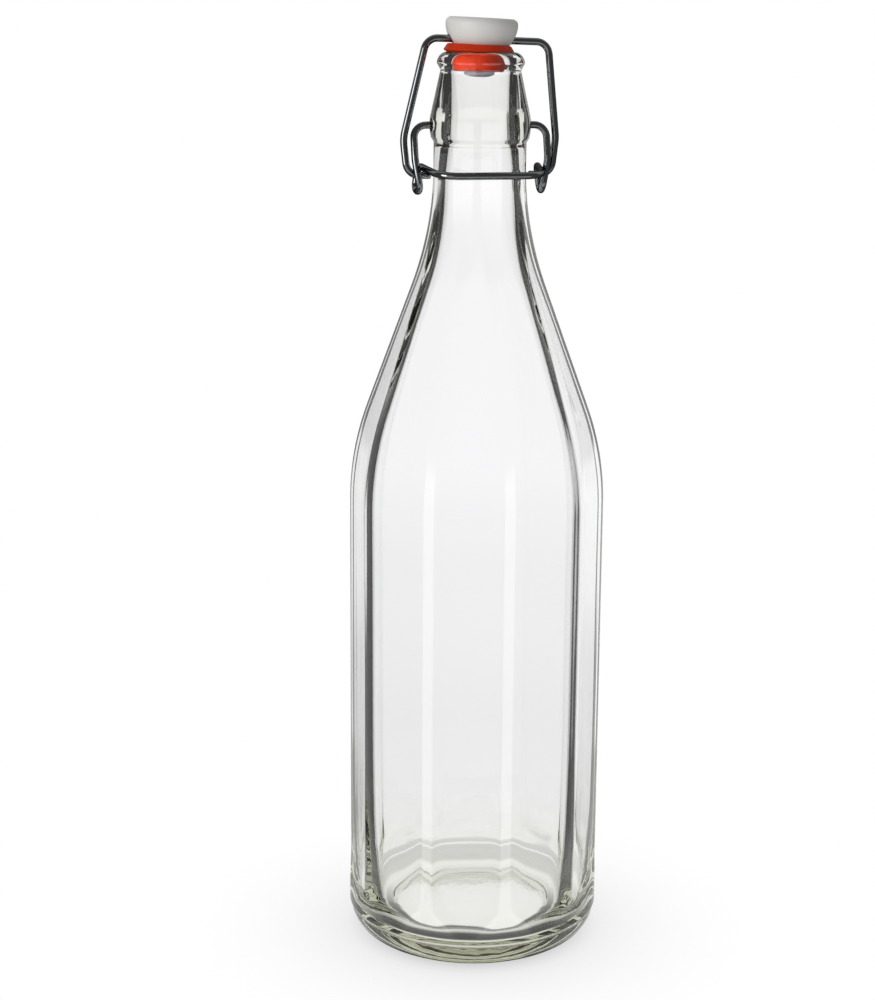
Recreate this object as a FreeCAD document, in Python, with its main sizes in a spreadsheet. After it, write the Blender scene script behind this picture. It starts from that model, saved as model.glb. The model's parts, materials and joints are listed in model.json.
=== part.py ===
"""Swing top bottle: ten-sided clear glass bottle with a stopper on a two-wire toggle.

Origin at the middle of the base, +Z up. The two pivots of the lower wire lie on X, and its push bar
is in front of the neck, towards -Y. The closure is modelled shut, as a hand leaves it: the stopper
sits on the rim with a slight lean.
"""
import FreeCAD, Part
import math
import os

import Sketcher

Vector = FreeCAD.Vector

# Driving dimensions, in millimetres and degrees.
SIZES = {
    # Glass body: radii are across the corners, depths are measured in from what comes before.
    "body_radius": 43.75,
    "facet_depth": 2.0,
    "side_wall": 2.55,
    "heel_width": 5.75,
    "bearing_width": 7.0,
    "punt_height": 7.0,
    "heel_height": 9.6,
    "heel_step": 0.5,
    "facet_lift": 0.3,
    "facet_runout": 10.0,
    "base_thickness": 5.0,
    "floor_dip": 4.8,
    "floor_corner": 10.2,
    # Shoulder: a round, a straight slope and a round into the neck.
    "shoulder_height": 155.0,
    "shoulder_round": 100.0,
    "shoulder_angle": 20.1,
    "throat_round": 100.0,
    "facet_ease": 0.8,
    "facet_fade": 0.7,
    # Glass neck and finish
    "neck_radius": 15.4,
    "neck_wall": 4.0,
    "neck_length": 38.1,
    "collar_rise": 1.4,
    "collar_round": 16.0,
    "collar_depth": 4.2,
    "collar_under": 1.4,
    "neck_taper": 13.4,
    "bore_depth": 18.0,
    "mouth_radius": 9.75,
    "mouth_depth": 7.0,
    "rim_round": 2.0,
    "lip_wall": 4.75,
    "lip_crown": 3.6,
    "lip_under": 2.2,
    "lip_overhang": 1.2,
    "pivot_drop": 23.6,
    "dimple_depth": 2.6,
    "dimple_flare": 1.1,
    # Both wires
    "wire_diameter": 2.4,
    "pin_clearance": 0.08,
    "pin_end_gap": 0.3,
    "eye_clearance": 0.35,
    # Lever: the lower wire
    "lever_reach": 5.9,
    "lever_bend": 4.2,
    "limb_kink": 11.0,
    "limb_kink_bend": 10.0,
    "eye_drop": 16.35,
    "eye_length": 2.45,
    "eye_tuck": 1.0,
    "eye_lead": 1.1,
    "arm_clearance": 0.4,
    "bar_tuck": 2.6,
    "bar_bend": 5.0,
    "bar_drop": 15.5,
    "bar_gap": 0.4,
    # Bail: the upper wire
    "hook_end_gap": 1.4,
    "hook_reach": 2.0,
    "hook_bend": 3.2,
    "bail_clearance": 1.0,
    "bail_wide_height": 12.0,
    "bail_side_bend": 14.0,
    "bail_overhang": 8.5,
    "bail_shift": 2.35,
    "bail_corner": 4.5,
    # Stopper and gasket
    "lean": 2.5,
    "hole_clearance": 0.12,
    "hole_height": 1.9,
    "head_radius": 12.1,
    "head_waist": 6.0,
    "head_belly": 11.0,
    "head_band": 0.7,
    "head_edge": 1.9,
    "head_inset": 0.9,
    "stem_radius": 3.6,
    "stem_clearance": 0.05,
    "nub_overhang": 1.8,
    "nub_height": 2.3,
    "nub_round": 1.8,
    "tip_overhang": 0.25,
    "tip_point": 1.6,
    "tip_drop": 1.3,
    "gasket_bevel": 31.0,
    "plug_gap": 0.75,
    "plug_taper": 0.7,
    "plug_round": 0.8,
    "gasket_height": 8.1,
    "seat_gap": 0.2,
}

FACETS = 10
LEFT = 1
RIGHT = -1
TOUCHING = 1e-6

# Sizes and places that follow from the driving dimensions, as expressions on the sheet.
APOTHEM = "(Sizes.body_radius - Sizes.facet_depth)"
CAVITY_RADIUS = f"({APOTHEM} - Sizes.side_wall)"
BASE_RADIUS = "(Sizes.body_radius - Sizes.heel_width)"
PUNT_RADIUS = f"({BASE_RADIUS} - Sizes.bearing_width)"
FACET_FOOT = "(Sizes.heel_height + Sizes.heel_step + Sizes.facet_lift)"
NECK_BORE = "(Sizes.neck_radius - Sizes.neck_wall)"
COLLAR_RADIUS = "(Sizes.neck_radius + Sizes.collar_rise)"
RIM_RADIUS = "(Sizes.mouth_radius + Sizes.rim_round)"
LIP_RADIUS = "(Sizes.mouth_radius + Sizes.lip_wall)"
WIRE_RADIUS = "(Sizes.wire_diameter / 2)"
PIN_BORE = f"({WIRE_RADIUS} + Sizes.pin_clearance)"
EYE_RADIUS = "(Sizes.wire_diameter + Sizes.eye_clearance)"
LEVER_HALF = f"({COLLAR_RADIUS} + Sizes.lever_reach)"
ARM_HALF = f"({LEVER_HALF} - Sizes.wire_diameter - Sizes.arm_clearance)"
BAIL_HALF = f"({LEVER_HALF} + Sizes.wire_diameter + Sizes.bail_clearance)"
BAIL_TOP_HALF = "(Sizes.head_radius + Sizes.bail_overhang)"
PLUG_RADIUS = "(Sizes.mouth_radius - Sizes.plug_gap)"
TIP_RADIUS = f"({RIM_RADIUS} + Sizes.tip_overhang)"
GASKET_TOP_RADIUS = f"({TIP_RADIUS} - Sizes.tip_point)"


def arc_radius(width, height):
    """Radius of an arc that starts straight along its height and moves across by width."""
    return f"(({width}) ^ 2 + ({height}) ^ 2) / (2 * ({width}))"


def flank(low, high, low_round, high_round, angle):
    """Corners of a shoulder: round in from radius low, straight at an angle, round out to radius high."""
    sag = f"(1 - cos({angle}))"
    run = f"({low} - {high} - ({low_round} + {high_round}) * {sag}) / tan({angle})"
    bend_z = f"(Sizes.shoulder_height + {low_round} * sin({angle}))"
    ease_z = f"({bend_z} + {run})"
    return [
        (low, "Sizes.shoulder_height", low_round, LEFT),
        (f"{low} - {low_round} * {sag}", bend_z),
        (f"{high} + {high_round} * {sag}", ease_z, high_round, RIGHT),
        (high, f"({ease_z} + {high_round} * sin({angle}))"),
    ]


GLASS_FLANK = flank("Sizes.body_radius", "Sizes.neck_radius",
                    "Sizes.shoulder_round", "Sizes.throat_round", "Sizes.shoulder_angle")
LIP_HEIGHT = f"({GLASS_FLANK[-1][1]} + Sizes.neck_length)"
PIVOT_HEIGHT = f"({LIP_HEIGHT} - Sizes.pivot_drop)"
EYE_HEIGHT = f"({PIVOT_HEIGHT} - Sizes.eye_drop)"


def crossbar_height():
    """Height of the bail's crossbar on the axis when the gasket rests on the rim.

    On the low side of the lean the gasket's bevel lies against the rounded inner edge of the rim, and
    its line stays seat_gap away from that round.
    """
    tilt = "(Sizes.gasket_bevel - Sizes.lean)"
    drop = "(Sizes.hole_height + Sizes.tip_drop)"
    tip_x = f"({TIP_RADIUS} * cos(Sizes.lean) - {drop} * sin(Sizes.lean))"
    reach = f"(Sizes.rim_round + Sizes.seat_gap - sin({tilt}) * ({RIM_RADIUS} - {tip_x}))"
    tip_z = f"({LIP_HEIGHT} - Sizes.rim_round + {reach} / cos({tilt}))"
    return f"({tip_z} + {TIP_RADIUS} * sin(Sizes.lean) + {drop} * cos(Sizes.lean))"


CROSSBAR_HEIGHT = crossbar_height()


def make_sheet(doc):
    """Put the driving dimensions into a spreadsheet, one aliased cell each."""
    sheet = doc.addObject("Spreadsheet::Sheet", "Sizes")
    for row, (alias, value) in enumerate(SIZES.items(), start=1):
        sheet.set(f"A{row}", alias)
        sheet.set(f"B{row}", str(value))
        sheet.setAlias(f"B{row}", alias)
    doc.recompute()
    return sheet


def number(item, expression):
    """Value of an expression now, read through any object of the document."""
    return float(item.evalExpression(expression))


def plane(body, role):
    """One of the body's own origin planes."""
    for feature in body.Origin.OriginFeatures:
        if feature.Role == role:
            return feature
    raise ValueError(role)


def new_sketch(body, role, name):
    """Empty sketch on one of the body's origin planes."""
    sketch = body.newObject("Sketcher::SketchObject", name)
    sketch.AttachmentSupport = [(plane(body, role), "")]
    sketch.MapMode = "FlatFace"
    return sketch


def arc_between(start, end, radius, side):
    """Arc shorter than a half circle, with its centre to the left or right of the way along it."""
    chord = end - start
    across = Vector(-chord.y, chord.x, 0).normalize()
    reach = math.sqrt(max(radius ** 2 - (chord.Length / 2) ** 2, 0))
    centre = (start + end) / 2 + across * (side * reach)
    first, last = (start, end) if side == LEFT else (end, start)
    circle = Part.Circle(centre, Vector(0, 0, 1), radius)
    from_angle = math.atan2(first.y - centre.y, first.x - centre.x)
    to_angle = math.atan2(last.y - centre.y, last.x - centre.x)
    if to_angle < from_angle:
        to_angle += 2 * math.pi
    return Part.ArcOfCircle(circle, from_angle, to_angle)


def bind(sketch, expression, kind, *where):
    """Add a dimension to a sketch and tie it to an expression."""
    value = number(sketch, expression)
    index = sketch.addConstraint(Sketcher.Constraint(kind, *where, value))
    sketch.setExpression(f"Constraints[{index}]", expression)


def pin_point(sketch, corner, edge, end):
    """Hold one end of an edge at the corner's two expressions."""
    across, up = corner[:2]
    if across == "0":
        sketch.addConstraint(Sketcher.Constraint("PointOnObject", edge, end, -2))
    else:
        bind(sketch, across, "DistanceX", -1, 1, edge, end)
    if up == "0":
        sketch.addConstraint(Sketcher.Constraint("PointOnObject", edge, end, -1))
    else:
        bind(sketch, up, "DistanceY", -1, 1, edge, end)


def closed_outline(sketch, corners):
    """Draw a closed outline whose every corner and round is tied to the sheet.

    A corner is (across, up) where the edge after it is straight, or (across, up, radius, side) where
    that edge is an arc whose centre lies to the given side of the way along the outline.
    """
    spots = [Vector(number(sketch, c[0]), number(sketch, c[1]), 0) for c in corners]
    ends = []
    for index, corner in enumerate(corners):
        start = spots[index]
        stop = spots[(index + 1) % len(spots)]
        if len(corner) == 2:
            edge = sketch.addGeometry(Part.LineSegment(start, stop), False)
            ends.append((edge, 1, 2))
        else:
            radius, side = corner[2:]
            edge = sketch.addGeometry(arc_between(start, stop, number(sketch, radius), side), False)
            ends.append((edge, 1, 2) if side == LEFT else (edge, 2, 1))
    for index, (edge, first, last) in enumerate(ends):
        after = ends[(index + 1) % len(ends)]
        sketch.addConstraint(Sketcher.Constraint("Coincident", edge, last, after[0], after[1]))
        pin_point(sketch, corners[index], edge, first)
        if len(corners[index]) == 4:
            bind(sketch, corners[index][2], "Radius", edge)


def turned(body, kind, sketch, axis="V_Axis"):
    """Revolution or groove of a sketch through a full turn."""
    feature = body.newObject(f"PartDesign::{kind}", f"{sketch.Name}{kind}")
    feature.Profile = sketch
    feature.ReferenceAxis = (sketch, [axis])
    feature.Angle = 360
    sketch.Document.recompute()
    return feature


def polar(body, feature, count):
    """Repeat a feature evenly around the body's Z axis."""
    pattern = body.newObject("PartDesign::PolarPattern", f"{feature.Name}Pattern")
    pattern.Originals = [feature]
    pattern.Axis = (plane(body, "Z_Axis"), [""])
    pattern.Angle = 360
    pattern.Occurrences = count
    body.Tip = pattern
    body.Document.recompute()
    return pattern


def glass_outside():
    """Half outline of the round glass blank, from the punt up to the rim and back down the axis."""
    step = "(Sizes.body_radius - Sizes.heel_step)"
    heel = f"({step} - {BASE_RADIUS})"
    lip_z = f"({LIP_HEIGHT} - Sizes.lip_crown)"
    collar_low = f"({PIVOT_HEIGHT} - Sizes.collar_depth)"
    barrel = "sqrt(Sizes.collar_round ^ 2 - Sizes.collar_depth ^ 2)"
    sag = "Sizes.collar_round * (1 - cos(Sizes.neck_taper))"
    return [
        ("0", "Sizes.punt_height", arc_radius("Sizes.punt_height", PUNT_RADIUS), RIGHT),
        (PUNT_RADIUS, "0"),
        (BASE_RADIUS, "0", arc_radius(heel, "Sizes.heel_height"), LEFT),
        (step, "Sizes.heel_height"),
        ("Sizes.body_radius", "Sizes.heel_height + Sizes.heel_step"),
        *GLASS_FLANK,
        ("Sizes.neck_radius", f"{collar_low} - Sizes.collar_under"),
        (f"{COLLAR_RADIUS} - Sizes.collar_round + {barrel}", collar_low, "Sizes.collar_round", LEFT),
        (f"{COLLAR_RADIUS} - {sag}", f"{PIVOT_HEIGHT} + Sizes.collar_round * sin(Sizes.neck_taper)"),
        (f"{LIP_RADIUS} - Sizes.lip_overhang", f"{lip_z} - Sizes.lip_under"),
        (LIP_RADIUS, lip_z, arc_radius(f"{LIP_RADIUS} - {RIM_RADIUS}", "Sizes.lip_crown"), LEFT),
        (RIM_RADIUS, LIP_HEIGHT),
        ("0", LIP_HEIGHT),
    ]


def facet_cut():
    """Outline of what one flat side takes off the blank, seen along that side."""
    brim = "(Sizes.body_radius + Sizes.heel_step)"
    outer = f"({brim} + Sizes.facet_runout)"
    side = flank(APOTHEM, "(Sizes.neck_radius + Sizes.facet_fade)",
                 "Sizes.shoulder_round", "Sizes.throat_round",
                 "(Sizes.shoulder_angle - Sizes.facet_ease)")
    return [
        (brim, FACET_FOOT, arc_radius(f"{brim} - {APOTHEM}", "Sizes.facet_runout"), RIGHT),
        (APOTHEM, f"{FACET_FOOT} + Sizes.facet_runout"),
        *side,
        (outer, side[-1][1]),
        (outer, FACET_FOOT),
    ]


def glass_inside():
    """Half outline of the hollow, from its domed floor up to the rim."""
    floor_z = "(Sizes.punt_height + Sizes.base_thickness)"
    floor_radius = f"({CAVITY_RADIUS} - Sizes.floor_corner)"
    dip_z = f"({floor_z} - Sizes.floor_dip)"
    wall = f"(Sizes.body_radius - {CAVITY_RADIUS})"
    above = f"({LIP_HEIGHT} + Sizes.rim_round)"
    return [
        ("0", floor_z, arc_radius("Sizes.floor_dip", floor_radius), RIGHT),
        (floor_radius, dip_z, "Sizes.floor_corner", LEFT),
        (CAVITY_RADIUS, f"{dip_z} + Sizes.floor_corner"),
        *flank(CAVITY_RADIUS, NECK_BORE, f"(Sizes.shoulder_round - {wall})",
               f"(Sizes.throat_round + {wall})", "Sizes.shoulder_angle"),
        (NECK_BORE, f"{LIP_HEIGHT} - Sizes.bore_depth"),
        ("Sizes.mouth_radius", f"{LIP_HEIGHT} - Sizes.mouth_depth"),
        ("Sizes.mouth_radius", f"{LIP_HEIGHT} - Sizes.rim_round", "Sizes.rim_round", RIGHT),
        (RIM_RADIUS, LIP_HEIGHT),
        (RIM_RADIUS, above),
        ("0", above),
    ]


def dimple_cut():
    """Half outline of one pivot dimple: a short bore with a flared mouth, turned about the pivot axis."""
    end = f"({COLLAR_RADIUS} - Sizes.dimple_depth)"
    outside = f"({COLLAR_RADIUS} + Sizes.dimple_flare)"
    return [
        (end, PIVOT_HEIGHT),
        (outside, PIVOT_HEIGHT),
        (outside, f"{PIVOT_HEIGHT} + {PIN_BORE} + 2 * Sizes.dimple_flare"),
        (f"{COLLAR_RADIUS} - Sizes.dimple_flare", f"{PIVOT_HEIGHT} + {PIN_BORE}"),
        (end, f"{PIVOT_HEIGHT} + {PIN_BORE}"),
    ]


def make_bottle(doc):
    """Glass: turned blank, ten flat sides, hollow and two pivot dimples."""
    body = doc.addObject("PartDesign::Body", "Bottle")
    body.Label = "bottle"
    blank = new_sketch(body, "XZ_Plane", "Blank")
    closed_outline(blank, glass_outside())
    turned(body, "Revolution", blank)
    facet = new_sketch(body, "XZ_Plane", "Facet")
    closed_outline(facet, facet_cut())
    cut = body.newObject("PartDesign::Pocket", "FacetPocket")
    cut.Profile = facet
    cut.SideType = "Symmetric"
    cut.Type = "ThroughAll"
    doc.recompute()
    polar(body, cut, FACETS)
    hollow = new_sketch(body, "XZ_Plane", "Hollow")
    closed_outline(hollow, glass_inside())
    turned(body, "Groove", hollow)
    dimple = new_sketch(body, "XZ_Plane", "Dimple")
    closed_outline(dimple, dimple_cut())
    polar(body, turned(body, "Groove", dimple, "Edge1"), 2)
    return body


def stopper_outline():
    """Half outline of the stopper about its own axis, with the cross hole at height 0."""
    base = "(0 - Sizes.hole_height)"
    ledge = f"({base} - Sizes.gasket_height)"
    foot = f"({ledge} - Sizes.nub_height)"
    waist = f"({base} + Sizes.head_waist)"
    band = f"({waist} + Sizes.head_band)"
    top = f"({band} + Sizes.head_edge)"
    nub = "(Sizes.stem_radius + Sizes.nub_overhang)"
    return [
        ("0", foot),
        (f"{nub} - Sizes.nub_round", foot, "Sizes.nub_round", LEFT),
        (nub, f"{foot} + Sizes.nub_round"),
        (nub, ledge),
        ("Sizes.stem_radius", ledge),
        ("Sizes.stem_radius", base),
        (f"{GASKET_TOP_RADIUS} - Sizes.head_inset", base, "Sizes.head_belly", LEFT),
        ("Sizes.head_radius", waist),
        ("Sizes.head_radius", band, "Sizes.head_edge", LEFT),
        ("Sizes.head_radius - Sizes.head_edge", top),
        ("0", top),
    ]


def seat_on_crossbar(body):
    """Put a body's frame on the crossbar, leaning in the plane of the wires."""
    lean = FreeCAD.Rotation(Vector(0, 1, 0), number(body, "Sizes.lean"))
    body.Placement = FreeCAD.Placement(Vector(0, 0, number(body, CROSSBAR_HEIGHT)), lean)
    body.setExpression("Placement.Base.z", CROSSBAR_HEIGHT)
    body.setExpression("Placement.Rotation.Angle", "Sizes.lean")


def make_stopper(doc):
    """Moulded stopper: bowl-shaped head, stem and mushroom end, with a cross hole for the bail."""
    body = doc.addObject("PartDesign::Body", "Stopper")
    body.Label = "stopper"
    half = new_sketch(body, "XZ_Plane", "StopperHalf")
    closed_outline(half, stopper_outline())
    turned(body, "Revolution", half)
    hole = new_sketch(body, "YZ_Plane", "WireHole")
    hole.addGeometry(Part.Circle(Vector(0, 0, 0), Vector(0, 0, 1), 1), False)
    hole.addConstraint(Sketcher.Constraint("Coincident", 0, 3, -1, 1))
    bind(hole, f"{WIRE_RADIUS} + Sizes.hole_clearance", "Radius", 0)
    drill = body.newObject("PartDesign::Pocket", "WireHolePocket")
    drill.Profile = hole
    drill.SideType = "Symmetric"
    drill.Type = "ThroughAll"
    doc.recompute()
    seat_on_crossbar(body)
    return body


def gasket_outline():
    """Half outline of the gasket in the stopper's frame: pointed rim, bevel and tapered plug."""
    hole = "(Sizes.stem_radius + Sizes.stem_clearance)"
    top = "(0 - Sizes.hole_height)"
    tip = f"({top} - Sizes.tip_drop)"
    foot = f"({top} - Sizes.gasket_height)"
    plug_end = f"({PLUG_RADIUS} - Sizes.plug_taper)"
    return [
        (hole, foot),
        (f"{plug_end} - Sizes.plug_round", foot, "Sizes.plug_round", LEFT),
        (plug_end, f"{foot} + Sizes.plug_round"),
        (PLUG_RADIUS, f"{tip} - ({TIP_RADIUS} - {PLUG_RADIUS}) * tan(Sizes.gasket_bevel)"),
        (TIP_RADIUS, tip),
        (GASKET_TOP_RADIUS, top),
        (hole, top),
    ]


def make_gasket(doc):
    """Rubber gasket on the stopper's stem."""
    body = doc.addObject("PartDesign::Body", "Gasket")
    body.Label = "gasket"
    half = new_sketch(body, "XZ_Plane", "GasketHalf")
    closed_outline(half, gasket_outline())
    turned(body, "Revolution", half)
    seat_on_crossbar(body)
    return body


def bail_route():
    """Corners of the bail's centre line in the XZ plane, left end to right end, with bend radii."""
    end = "(Sizes.neck_radius + Sizes.hook_end_gap)"
    hook = f"({LEVER_HALF} + Sizes.hook_reach)"
    wide = f"({EYE_HEIGHT} + Sizes.bail_wide_height)"
    left = f"(Sizes.bail_shift - {BAIL_TOP_HALF})"
    right = f"(Sizes.bail_shift + {BAIL_TOP_HALF})"
    return [
        (f"0 - {end}", EYE_HEIGHT, None),
        (f"0 - {hook}", EYE_HEIGHT, "Sizes.hook_bend"),
        (f"0 - {BAIL_HALF}", wide, "Sizes.bail_side_bend"),
        (left, f"{CROSSBAR_HEIGHT} - {left} * tan(Sizes.lean)", "Sizes.bail_corner"),
        (right, f"{CROSSBAR_HEIGHT} - {right} * tan(Sizes.lean)", "Sizes.bail_corner"),
        (BAIL_HALF, wide, "Sizes.bail_side_bend"),
        (hook, EYE_HEIGHT, "Sizes.hook_bend"),
        (end, EYE_HEIGHT, None),
    ]


def bend_at(before, corner, after, radius):
    """Start, middle and end of the arc that rounds a corner of a route."""
    back = (before - corner).normalize()
    ahead = (after - corner).normalize()
    half = back.getAngle(ahead) / 2
    trim = radius / math.tan(half)
    inward = (back + ahead).normalize()
    middle = corner + inward * (radius / math.sin(half) - radius)
    return corner + back * trim, middle, corner + ahead * trim


def bent_sketch(sketch, route):
    """Draw an open route of straight runs and tangent bends, tied to its corners and radii."""
    spots = [Vector(number(sketch, c[0]), number(sketch, c[1]), 0) for c in route]
    bends = {}
    for index in range(1, len(route) - 1):
        radius = number(sketch, route[index][2])
        bends[index] = bend_at(spots[index - 1], spots[index], spots[index + 1], radius)
    runs = []
    for index in range(len(route) - 1):
        start = bends[index][2] if index in bends else spots[index]
        stop = bends[index + 1][0] if index + 1 in bends else spots[index + 1]
        runs.append(sketch.addGeometry(Part.LineSegment(start, stop), False))
    pin_point(sketch, route[0], runs[0], 1)
    pin_point(sketch, route[-1], runs[-1], 2)
    for index, (start, _, stop) in bends.items():
        corner = sketch.addGeometry(Part.Point(spots[index]), True)
        pin_point(sketch, route[index], corner, 1)
        sketch.addConstraint(Sketcher.Constraint("PointOnObject", corner, 1, runs[index - 1]))
        sketch.addConstraint(Sketcher.Constraint("PointOnObject", corner, 1, runs[index]))
        turn = (spots[index] - spots[index - 1]).cross(spots[index + 1] - spots[index]).z
        side = LEFT if turn > 0 else RIGHT
        arc = sketch.addGeometry(
            arc_between(start, stop, number(sketch, route[index][2]), side), False)
        first, last = (1, 2) if side == LEFT else (2, 1)
        sketch.addConstraint(Sketcher.Constraint("Tangent", runs[index - 1], 2, arc, first))
        sketch.addConstraint(Sketcher.Constraint("Tangent", arc, last, runs[index], 1))
        bind(sketch, route[index][2], "Radius", arc)


def make_bail(doc):
    """Upper wire: a pipe along a bent route that lies in one plane."""
    body = doc.addObject("PartDesign::Body", "Bail")
    body.Label = "bail"
    route = bail_route()
    path = new_sketch(body, "XZ_Plane", "BailPath")
    bent_sketch(path, route)
    section = new_sketch(body, "YZ_Plane", "BailSection")
    section.setExpression("AttachmentOffset.Base.z", route[0][0])
    section.addGeometry(Part.Circle(Vector(0, number(section, route[0][1]), 0), Vector(0, 0, 1), 1), False)
    section.addConstraint(Sketcher.Constraint("PointOnObject", 0, 3, -2))
    bind(section, route[0][1], "DistanceY", -1, 1, 0, 3)
    bind(section, WIRE_RADIUS, "Radius", 0)
    pipe = body.newObject("PartDesign::AdditivePipe", "BailPipe")
    pipe.Profile = section
    pipe.Spine = path
    doc.recompute()
    return body


def lever_route(sheet):
    """Corners of half of the lever's centre line, from the pin in the dimple to the middle of the bar."""
    def size(expression):
        return number(sheet, expression)

    loop = size(EYE_RADIUS)
    half = size(LEVER_HALF)
    front = size(f"{LEVER_HALF} - Sizes.eye_tuck")
    back = front - size("Sizes.eye_lead")
    pivot = size(PIVOT_HEIGHT)
    bottom = size(f"{EYE_HEIGHT} - Sizes.eye_length") - loop
    crossing = size(f"{EYE_HEIGHT} + Sizes.eye_clearance") + loop
    pin = size(f"{COLLAR_RADIUS} - Sizes.dimple_depth + Sizes.pin_end_gap")
    bar = -size(f"Sizes.neck_radius + Sizes.bar_gap + {WIRE_RADIUS}")
    bar_z = pivot - size("Sizes.bar_drop")
    return [
        (Vector(pin, 0, pivot), None),
        (Vector(half, 0, pivot), size("Sizes.lever_bend")),
        (Vector(half, -loop, pivot - size("Sizes.limb_kink")), size("Sizes.limb_kink_bend")),
        (Vector(front, -loop, bottom), loop),
        (Vector(back, loop, bottom), loop),
        (Vector(size(ARM_HALF), loop, crossing), loop),
        (Vector(size(f"{ARM_HALF} - Sizes.bar_tuck"), bar, bar_z), size("Sizes.bar_bend")),
        (Vector(0, bar, bar_z), None),
    ]


def bent_wire(route, radius):
    """Round wire along straight runs and tangent arcs in space."""
    spots = [corner[0] for corner in route]
    edges = []
    last = spots[0]
    for index in range(1, len(route) - 1):
        start, middle, stop = bend_at(spots[index - 1], spots[index], spots[index + 1], route[index][1])
        if not start.isEqual(last, TOUCHING):
            edges.append(Part.makeLine(last, start))
        edges.append(Part.Arc(start, middle, stop).toShape())
        last = stop
    edges.append(Part.makeLine(last, spots[-1]))
    path = Part.Wire(edges)
    disc = Part.Face(Part.Wire(Part.makeCircle(radius, spots[0], spots[1] - spots[0])))
    return path.makePipe(disc)


def make_lever(doc, sheet):
    """Lower wire: bent in space, so its two mirrored halves are swept and joined at the bar's middle."""
    half = bent_wire(lever_route(sheet), number(sheet, WIRE_RADIUS))
    other = half.mirror(Vector(0, 0, 0), Vector(1, 0, 0))
    lever = doc.addObject("Part::Feature", "Lever")
    lever.Label = "lever"
    lever.Shape = half.fuse(other).removeSplitter().Solids[0]
    lever.Placement = FreeCAD.Placement()
    return lever


def check(doc, parts):
    """Stop if any object failed or any sub-part is not one sound solid."""
    for item in doc.Objects:
        if "Invalid" in item.State or "Error" in item.State:
            raise RuntimeError(f"{item.Name} failed: {item.State}")
    for part in parts:
        shape = part.Shape
        if shape.isNull() or not shape.isValid() or len(shape.Solids) != 1:
            raise RuntimeError(f"{part.Label} is not one valid solid")


def main():
    doc = FreeCAD.newDocument("swing_top_bottle")
    sheet = make_sheet(doc)
    parts = [
        make_bottle(doc),
        make_stopper(doc),
        make_gasket(doc),
        make_bail(doc),
        make_lever(doc, sheet),
    ]
    doc.recompute()
    check(doc, parts)
    os.makedirs("parts", exist_ok=True)
    for part in parts:
        part.Shape.exportStep(f"parts/{part.Label}.step")
        print(part.Label, round(part.Shape.Volume, 1), part.Shape.BoundBox)


main()
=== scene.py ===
# %% [markdown]
# # A swing top bottle
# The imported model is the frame: it fixes where every piece sits and how it moves. This lesson dresses it.
# Each piece is a surface worked out with numpy from a few sizes, and each finish is a small node tree. The
# points could also be pushed about by hand, but sizes in code are easier to read, check and change.

# %% Load the frame
import json
import math

import bpy
import numpy as np
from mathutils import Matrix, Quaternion, Vector


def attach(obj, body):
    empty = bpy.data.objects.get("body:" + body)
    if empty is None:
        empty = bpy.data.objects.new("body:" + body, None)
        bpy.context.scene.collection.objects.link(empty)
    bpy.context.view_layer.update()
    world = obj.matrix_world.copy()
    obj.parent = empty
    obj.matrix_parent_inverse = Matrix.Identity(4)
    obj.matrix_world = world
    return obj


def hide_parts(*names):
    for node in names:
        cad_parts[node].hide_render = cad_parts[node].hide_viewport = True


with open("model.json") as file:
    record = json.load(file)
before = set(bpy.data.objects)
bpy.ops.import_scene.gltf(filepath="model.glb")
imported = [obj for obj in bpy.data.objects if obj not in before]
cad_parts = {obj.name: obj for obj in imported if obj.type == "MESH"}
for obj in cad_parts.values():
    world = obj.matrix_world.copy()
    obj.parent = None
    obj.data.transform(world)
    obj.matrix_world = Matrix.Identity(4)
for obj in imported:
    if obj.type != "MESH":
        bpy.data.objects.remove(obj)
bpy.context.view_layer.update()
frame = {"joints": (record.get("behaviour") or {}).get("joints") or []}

# %% [markdown]
# ## Sizes
# A glass or wire maker draws in millimetres, so the shapes here do too, and become metres when a mesh is
# made. The heights of the pivots and the stopper's lean could be typed in again. They are read from the
# frame's joints instead, so that every surface lands on its solid.

# %% Sizes from the frame
MM = 0.001
JOINTS = {joint["name"]: joint for joint in frame["joints"]}
PIVOT_Z = JOINTS["lever_pivot"]["pos_m"][2] / MM
EYE_Z = JOINTS["bail_pivot"]["pos_m"][2] / MM
CROSSBAR_Z = JOINTS["stopper_swivel"]["pos_m"][2] / MM
LEAN = math.asin(JOINTS["stopper_swivel"]["axis"][2])
LIP_ABOVE_PIVOT = 23.6
LIP_Z = PIVOT_Z + LIP_ABOVE_PIVOT
WIRE_RADIUS = 1.2
print("lip", round(LIP_Z, 2), "pivot", round(PIVOT_Z, 2), "lean", round(math.degrees(LEAN), 2))

# %% [markdown]
# ## Drawing helpers
# Every outline on this bottle is made of straight runs and arcs, as on a mould maker's drawing. A curve
# object could hold them, but plain points are easier to carry round an axis or along a path, where they
# become a grid.

# %% Lines and arcs
LEFT = 1
RIGHT = -1


def line(start, stop, steps):
    """Points at even shares of the way from start to stop, without the last one."""
    share = np.arange(steps)[:, None] / steps
    return np.array(start) + share * (np.array(stop, float) - np.array(start, float))


def arc(start, stop, radius, side, steps):
    """Points at even angles on the arc from start to stop, without the last one.

    The centre lies beside the middle of the chord, at the height of a triangle whose two sides are radii.
    """
    start, stop = np.array(start, float), np.array(stop, float)
    chord = stop - start
    across = side * np.array([-chord[1], chord[0]]) / np.hypot(*chord)
    centre = (start + stop) / 2 + across * math.sqrt(radius ** 2 - (chord @ chord) / 4)
    first = math.atan2(*(start - centre)[::-1])
    sweep = side * 2 * math.asin(np.hypot(*chord) / 2 / radius)
    angle = first + sweep * np.arange(steps) / steps
    return centre + radius * np.column_stack([np.cos(angle), np.sin(angle)])


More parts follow.
